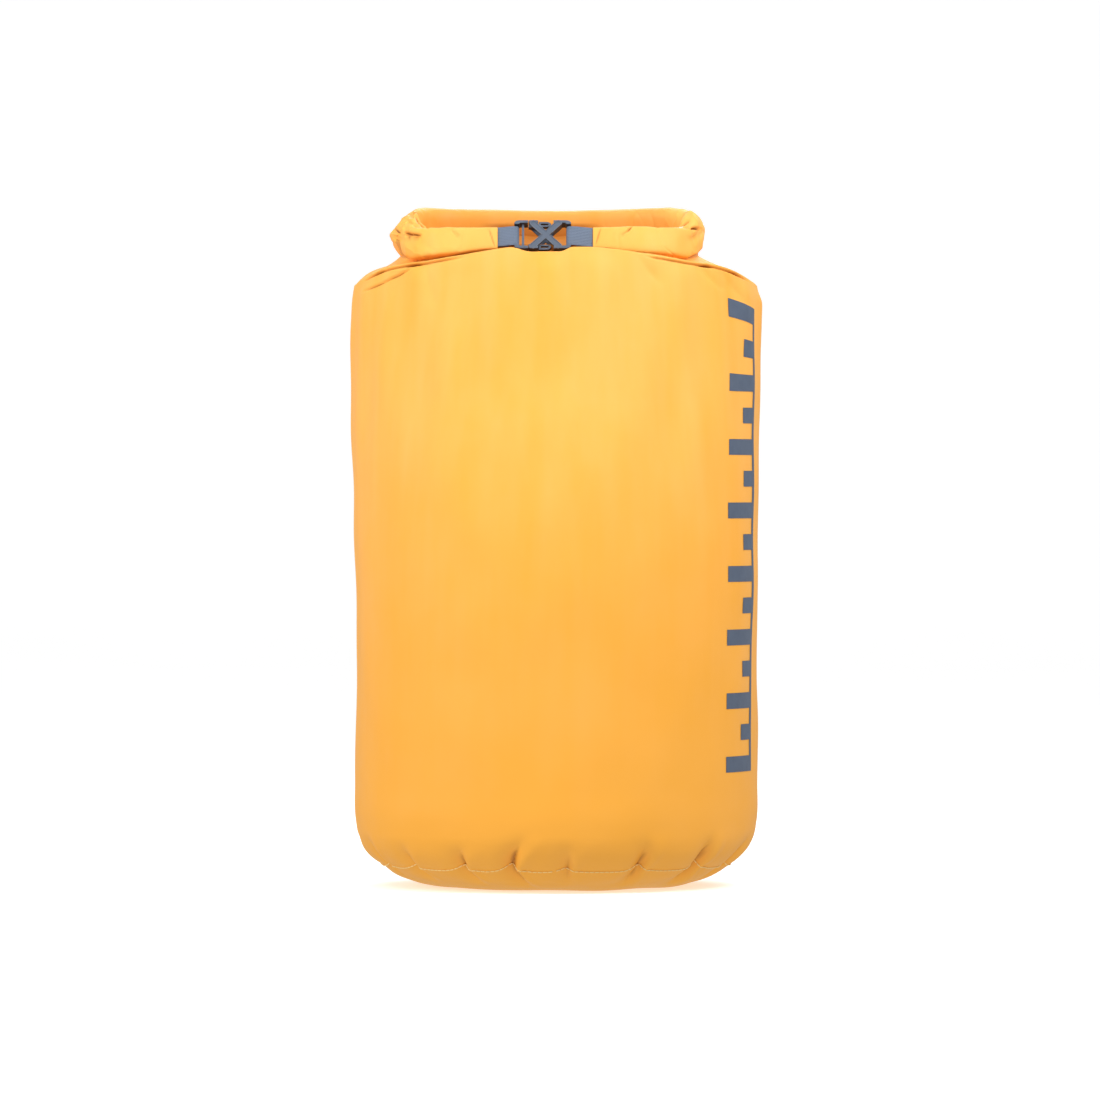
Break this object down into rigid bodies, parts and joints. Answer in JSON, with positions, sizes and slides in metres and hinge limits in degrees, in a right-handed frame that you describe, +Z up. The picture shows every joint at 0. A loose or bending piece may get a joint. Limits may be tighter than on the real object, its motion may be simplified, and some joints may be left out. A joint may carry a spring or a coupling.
{
  "type": "roll-top dry bag",
  "caption": "Full roll-top dry bag standing upright: coated-cloth cylinder with a sewn base, rolled mouth bent into a carry loop and closed by a side-release buckle.",
  "frame": {"origin": "centre of the flat the bag stands on", "axes": "+Z up the bag, -Y to the front where the buckle is, +X to the right seen from the front"},
  "size_m": [0.314, 0.3143, 0.5217],
  "materials": {
    "bag_cloth": "satin coated ripstop nylon",
    "seam_tape": "heat-sealed tape",
    "thread": "twisted thread",
    "webbing": "woven webbing",
    "buckle_plastic": "moulded acetal",
    "stiffener": "plain strip",
    "print_ink": "screen-printed ink"
  },
  "bodies": {
    "bag": {"body_panel": "bag_cloth", "base_panel": "bag_cloth", "base_seam_tape": "seam_tape", "base_seam_thread": "thread", "back_seam_tape": "seam_tape", "back_seam_thread": "thread", "fill_gauge_print": "print_ink", "rolled_closure": "bag_cloth", "left_roll_arm": "bag_cloth", "closure_stiffener": "stiffener", "right_strap": "webbing", "right_strap_bartack": "thread", "buckle_socket": "buckle_plastic"},
    "plug": {"buckle_plug": "buckle_plastic", "left_strap": "webbing", "left_strap_bartack": "thread"},
    "upper_latch": {"upper_latch_arm": "buckle_plastic"},
    "lower_latch": {"lower_latch_arm": "buckle_plastic"}
  },
  "joints": [
    {"name": "buckle_release", "type": "slide", "parent": "bag", "child": "plug", "axis": [-1, 0, 0], "range_m": [0, 0.018], "deforming": ["left_roll_arm", "upper_latch_arm", "lower_latch_arm"]},
    {"name": "upper_latch_squeeze", "type": "hinge", "parent": "plug", "child": "upper_latch", "pos_m": [-0.0209, -0.07456, 0.50438], "axis": [0, 0.9063, -0.4226], "range_deg": [0, 12], "stiffness_Nm_per_rad": 0.3},
    {"name": "lower_latch_squeeze", "type": "hinge", "parent": "plug", "child": "lower_latch", "pos_m": [-0.0209, -0.08144, 0.48961], "axis": [0, -0.9063, 0.4226], "range_deg": [0, 12], "stiffness_Nm_per_rad": 0.3}
  ]
}
